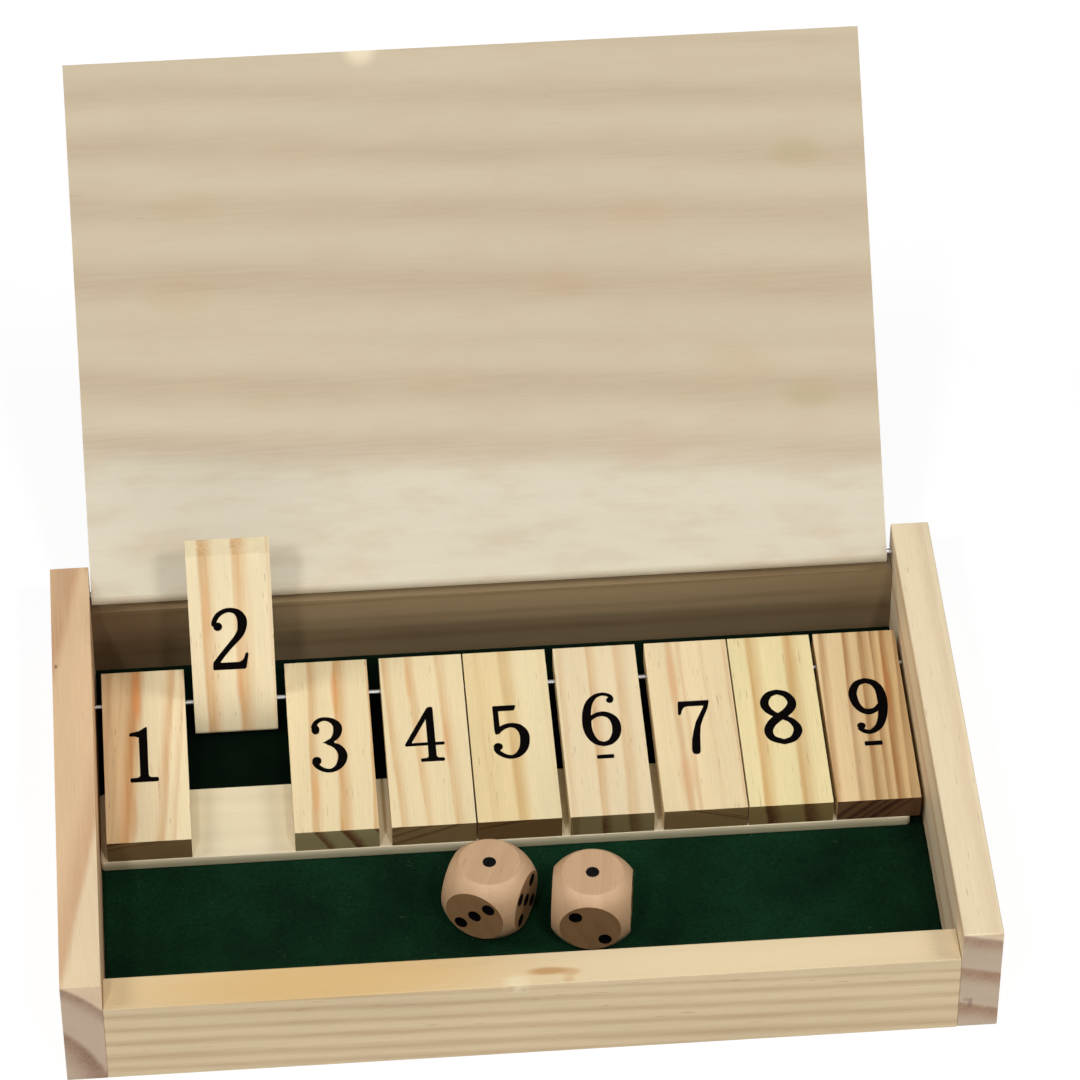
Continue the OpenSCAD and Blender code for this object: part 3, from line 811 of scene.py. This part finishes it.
def paint_material():
    material, tree, shader = new_material("pip_paint", 0.5, 0.05)
    local, _ = board_space(tree, board_place())
    worn = blur_noise(tree, local, (1.5, 1.5, 1.5), 3.0)
    feed(tree, shader.inputs["Base Color"],
         blend(tree, remap(tree, worn, 0.35, 0.7), linear(6, 5, 6), linear(12, 11, 12)))
    feed(tree, shader.inputs["Roughness"], remap(tree, worn, 0.3, 0.7, 0.3, 0.5))
    return material


PIP_STEPS = 24
PIP_RINGS = 4
PAINT_T = 0.06
PAINT_GAP = 0.008                  # between the paint and the hollow's floor
PAINT_INSET = 0.02                 # from the pip's rim


def pip_cap():
    """Paint in a pip's hollow: a thin bowl whose rim is flush with the die's side."""
    hollow_r = (PIP_DEPTH ** 2 + (PIP_D / 2) ** 2) / (2 * PIP_DEPTH)
    vertices, faces = [], []
    for gap in (PAINT_T, PAINT_GAP):
        r = hollow_r - gap
        vertices.append((0, 0, hollow_r - PIP_DEPTH - r))
        rim = math.asin((PIP_D / 2 - PAINT_INSET) / r)
        for ring in range(1, PIP_RINGS + 1):
            angle = rim * ring / PIP_RINGS
            for k in range(PIP_STEPS):
                turn = 2 * math.pi * k / PIP_STEPS
                vertices.append((r * math.sin(angle) * math.cos(turn),
                                 r * math.sin(angle) * math.sin(turn),
                                 hollow_r - PIP_DEPTH - r * math.cos(angle)))
    shell = 1 + PIP_RINGS * PIP_STEPS

    def at(layer, ring, k):
        return layer * shell + (0 if ring == 0 else 1 + (ring - 1) * PIP_STEPS + k % PIP_STEPS)

    for layer in (0, 1):
        for ring in range(PIP_RINGS):
            for k in range(PIP_STEPS):
                face = [at(layer, ring, k), at(layer, ring + 1, k), at(layer, ring + 1, k + 1)]
                if ring:
                    face.append(at(layer, ring, k + 1))
                faces.append(tuple(face if layer == 0 else reversed(face)))
    for k in range(PIP_STEPS):
        faces.append((at(0, PIP_RINGS, k), at(1, PIP_RINGS, k), at(1, PIP_RINGS, k + 1),
                      at(0, PIP_RINGS, k + 1)))
    return vertices, faces


def add_pips(name, paint):
    centre = die_centre(name)
    body = Matrix.Rotation(DIE_TURNS[name], 4, "Z")
    sides = [(1, Matrix.Identity(4)), (6, Matrix.Rotation(math.pi, 4, "X"))]
    for k, count in enumerate(SIDE_PIPS):
        sides.append((count, Matrix.Rotation(k * QUARTER, 4, "Z") @ Matrix.Rotation(QUARTER, 4, "X")))
    cap, cap_faces = pip_cap()
    vertices, faces = [], []
    for count, side in sides:
        for x, y in pip_spots(count):
            start = len(vertices)
            for v in cap:
                local = Vector((v[0] + x, v[1] + y, v[2] + DIE_SIZE / 2)) * MM
                vertices.append(body @ side @ local + centre)
            faces += [tuple(v + start for v in face) for face in cap_faces]
    obj = add_mesh(f"{name}_pips", vertices, faces, paint, smooth=True)
    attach(obj, name)


# --- steel ----------------------------------------------------------------------------------------

def steel_material():
    material, tree, shader = new_material("bright_steel", 0.28, 0.5)
    local, _ = board_space(tree, board_place((0, 0, 0), GRAIN_X))
    drawn = blur_noise(tree, local, (9.0, 0.05, 9.0), 3.0, 0.6)
    dull = blur_noise(tree, local, (0.3, 0.05, 0.3), 3.0, 0.6, shift=5)
    colour = blend(tree, remap(tree, dull, 0.35, 0.75), linear(178, 178, 180), linear(142, 140, 138))
    feed(tree, shader.inputs["Base Color"], colour)
    shader.inputs["Metallic"].default_value = 1.0
    feed(tree, shader.inputs["Roughness"], remap(tree, drawn, 0.3, 0.7, 0.2, 0.4))
    bump(tree, shader, drawn, 0.15, 0.05)
    return material


# --- stage ----------------------------------------------------------------------------------------

PICTURE = 1080
CAMERA_AT = (-0.0650, -0.9106, 0.9803)
CAMERA_DOWN = 44.0
CAMERA_YAW = 4.5
FOCAL_PIXELS = 5588.4
SENSOR = 36.0


def add_camera():
    data = bpy.data.cameras.new("camera")
    data.sensor_width = SENSOR
    data.lens = FOCAL_PIXELS * SENSOR / PICTURE
    data.clip_start, data.clip_end = 0.05, 50
    camera = bpy.data.objects.new("camera", data)
    camera.location = CAMERA_AT
    camera.rotation_euler = (math.radians(90 - CAMERA_DOWN), 0, -math.radians(CAMERA_YAW))
    bpy.context.scene.collection.objects.link(camera)
    bpy.context.scene.camera = camera


def add_lamp(name, at, towards, size, watts):
    data = bpy.data.lights.new(name, "AREA")
    data.shape = "RECTANGLE"
    data.size, data.size_y = size
    data.energy = watts
    lamp = bpy.data.objects.new(name, data)
    lamp.location = at
    lamp.rotation_euler = (Vector(at) - Vector(towards)).to_track_quat("Z", "Y").to_euler()
    bpy.context.scene.collection.objects.link(lamp)


def seen_by_eye(tree):
    """1 for camera, glossy and transmission rays."""
    path = tree.nodes.new("ShaderNodeLightPath")
    either = calc(tree, "MAXIMUM", path.outputs["Is Camera Ray"], path.outputs["Is Glossy Ray"])
    return calc(tree, "MAXIMUM", either, path.outputs["Is Transmission Ray"])


FLOOR_GLOW = 0.84
FLOOR_HALF = 6
FLOOR_DROP = 0.0002                # keeps the floor clear of the base's own underside


def add_floor():
    material, tree, shader = new_material("white_floor", 0.9, 0.0)
    local, _ = board_space(tree, board_place())
    paper = blur_noise(tree, local, (0.02, 0.02, 0.02), 2.0)
    feed(tree, shader.inputs["Base Color"],
         blend(tree, paper, (0.22, 0.22, 0.22, 1), (0.24, 0.24, 0.24, 1)))
    shader.inputs["Emission Color"].default_value = (1, 1, 1, 1)
    feed(tree, shader.inputs["Emission Strength"],
         calc(tree, "MULTIPLY", seen_by_eye(tree), FLOOR_GLOW))
    corners = [(x * FLOOR_HALF, y * FLOOR_HALF, 0) for x, y in ((-1, -1), (1, -1), (1, 1), (-1, 1))]
    floor = add_mesh("floor", corners, [(0, 1, 2, 3)], material)
    floor.location.z = -FLOOR_DROP


AMBIENT = 0.08


def light_world():
    world = bpy.data.worlds.new("studio")
    bpy.context.scene.world = world
    world.use_nodes = True
    tree = world.node_tree
    shown = seen_by_eye(tree)
    strength = remap(tree, shown, 0.0, 1.0, AMBIENT, 1.0)
    feed(tree, tree.nodes["Background"].inputs["Strength"], strength)
    tree.nodes["Background"].inputs["Color"].default_value = (1, 1, 1, 1)


SOFTEN = {"rest_slat": 0.8, "base_panel": 0.25}      # broken edges, where they aren't 0.4 mm


def build():
    for node, material in {**wall_materials(), **panel_materials()}.items():
        dress(node, material, soften=SOFTEN.get(node, 0.4))
    dress("lid_panel", lid_material(), soften=0.35)
    ink = ink_material()
    for number in TILES:
        dress(f"tile_{number}", tile_material(number), soften=0.32)
        add_numerals(number, ink)
    add_felt(felt_material())
    paint = paint_material()
    for name, seed in (("die_left", 81.0), ("die_right", 93.0)):
        dress(name, die_material(name, seed))
        add_pips(name, paint)
    steel = steel_material()
    for node in ("pivot_rod", "lid_nail_left", "lid_nail_right"):
        dress(node, steel)


add_camera()
add_floor()
light_world()
# two soft boxes stand high at the sides, two small lamps high in front, a wide card low in front,
# and a weak one low behind, which the lid keeps out of the box
for side, name in ((-1, "left"), (1, "right")):
    add_lamp(f"high_{name}", (side * 1.07, -0.18, 1.19), (0, 0, 0.02), (0.5, 0.5), 8.0)
    add_lamp(f"front_{name}", (side * 0.36 - 0.065, -1.00, 1.26), (-0.03, 0, 0.03), (0.13, 0.13), 6.3)
add_lamp("low_front", (0, -1.70, 0.27), (0, 0, 0.03), (3.0, 0.3), 12.5)
add_lamp("low_back", (0, 1.70, 0.22), (0, 0.05, 0.05), (1.0, 0.3), 8.0)
build()

bpy.context.scene.view_settings.view_transform = "Standard"
